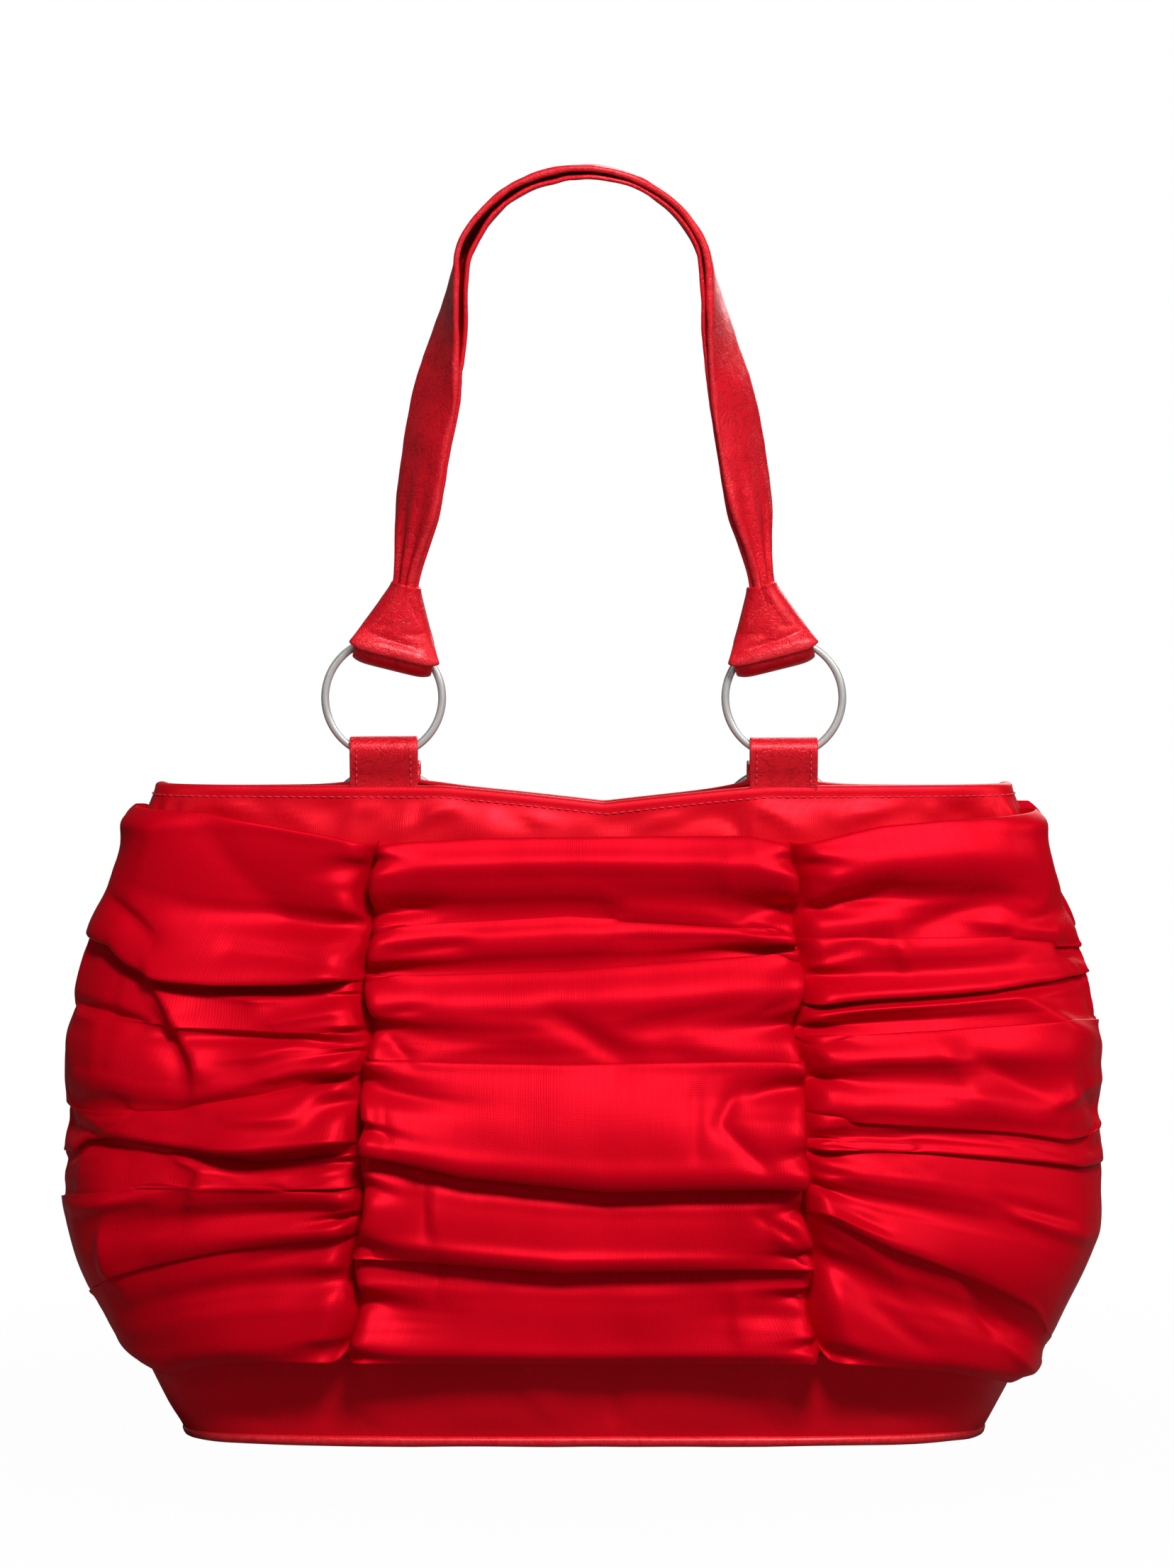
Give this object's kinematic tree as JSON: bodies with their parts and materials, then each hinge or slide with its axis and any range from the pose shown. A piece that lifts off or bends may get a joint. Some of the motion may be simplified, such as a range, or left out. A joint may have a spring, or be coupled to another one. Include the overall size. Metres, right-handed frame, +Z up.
{
  "type": "ruched shoulder tote bag",
  "caption": "Soft ruched satin shoulder tote with a plain rim band, gathered cross folds, piped base and folded leather straps knotted onto swinging metal rings.",
  "frame": {"origin": "centre of the base's flat underside, where the bag stands", "axes": "+Z up from the base to the straps, -Y out of the front that the picture shows, +X to the viewer's right"},
  "size_m": [0.3812, 0.1941, 0.4686],
  "materials": {
    "satin": "red satin cloth, plain",
    "ruched_satin": "red satin cloth, gathered",
    "lining": "dark red lining cloth",
    "tape": "woven cotton tape",
    "board": "grey stiffening board",
    "leather": "red glossy creased leather",
    "steel": "satin nickel plate"
  },
  "bodies": {
    "bag": {"front_panel": "satin", "back_panel": "satin", "left_gusset": "satin", "right_gusset": "satin", "base_panel": "satin", "base_board": "board", "base_piping": "leather", "lining_wall": "lining", "lining_base": "lining", "mouth_facing": "satin", "rim_interlining": "board", "front_ruching_left": "ruched_satin", "front_ruching_centre": "ruched_satin", "front_ruching_right": "ruched_satin", "back_ruching_left": "ruched_satin", "back_ruching_centre": "ruched_satin", "back_ruching_right": "ruched_satin", "front_tape_left": "tape", "front_tape_right": "tape", "back_tape_left": "tape", "back_tape_right": "tape", "front_tab_left": "leather", "front_tab_right": "leather", "back_tab_left": "leather", "back_tab_right": "leather"},
    "front_left_ring": {"front_ring_left": "steel"},
    "front_right_ring": {"front_ring_right": "steel"},
    "back_left_ring": {"back_ring_left": "steel"},
    "back_right_ring": {"back_ring_right": "steel"},
    "front_handle": {"front_strap": "leather", "front_knot_left": "leather", "front_knot_right": "leather"},
    "back_handle": {"back_strap": "leather", "back_knot_left": "leather", "back_knot_right": "leather"}
  },
  "joints": [
    {"name": "front_left_ring_swing", "type": "hinge", "parent": "bag", "child": "front_left_ring", "pos_m": [-0.0735, -0.02276, 0.2538], "axis": [1, 0, 0], "range_deg": [-1.5, 135]},
    {"name": "front_right_ring_swing", "type": "hinge", "parent": "bag", "child": "front_right_ring", "pos_m": [0.0735, -0.02276, 0.2538], "axis": [1, 0, 0], "range_deg": [-1.5, 135]},
    {"name": "front_strap_swing", "type": "hinge", "parent": "front_left_ring", "child": "front_handle", "pos_m": [-0.0735, -0.02276, 0.28976], "axis": [1, 0, 0], "range_deg": [-1, 27]},
    {"name": "back_left_ring_swing", "type": "hinge", "parent": "bag", "child": "back_left_ring", "pos_m": [-0.0735, 0.03269, 0.24119], "axis": [1, 0, 0], "range_deg": [0, 153]},
    {"name": "back_right_ring_swing", "type": "hinge", "parent": "bag", "child": "back_right_ring", "pos_m": [0.0735, 0.03269, 0.24119], "axis": [1, 0, 0], "range_deg": [0, 153]},
    {"name": "back_strap_swing", "type": "hinge", "parent": "back_left_ring", "child": "back_handle", "pos_m": [-0.0735, 0.05067, 0.21004], "axis": [1, 0, 0], "range_deg": [0, 12]}
  ],
  "couplings": [
    {"joint": "front_right_ring_swing", "follows": "front_left_ring_swing", "ratio": 1},
    {"joint": "back_right_ring_swing", "follows": "back_left_ring_swing", "ratio": 1}
  ]
}
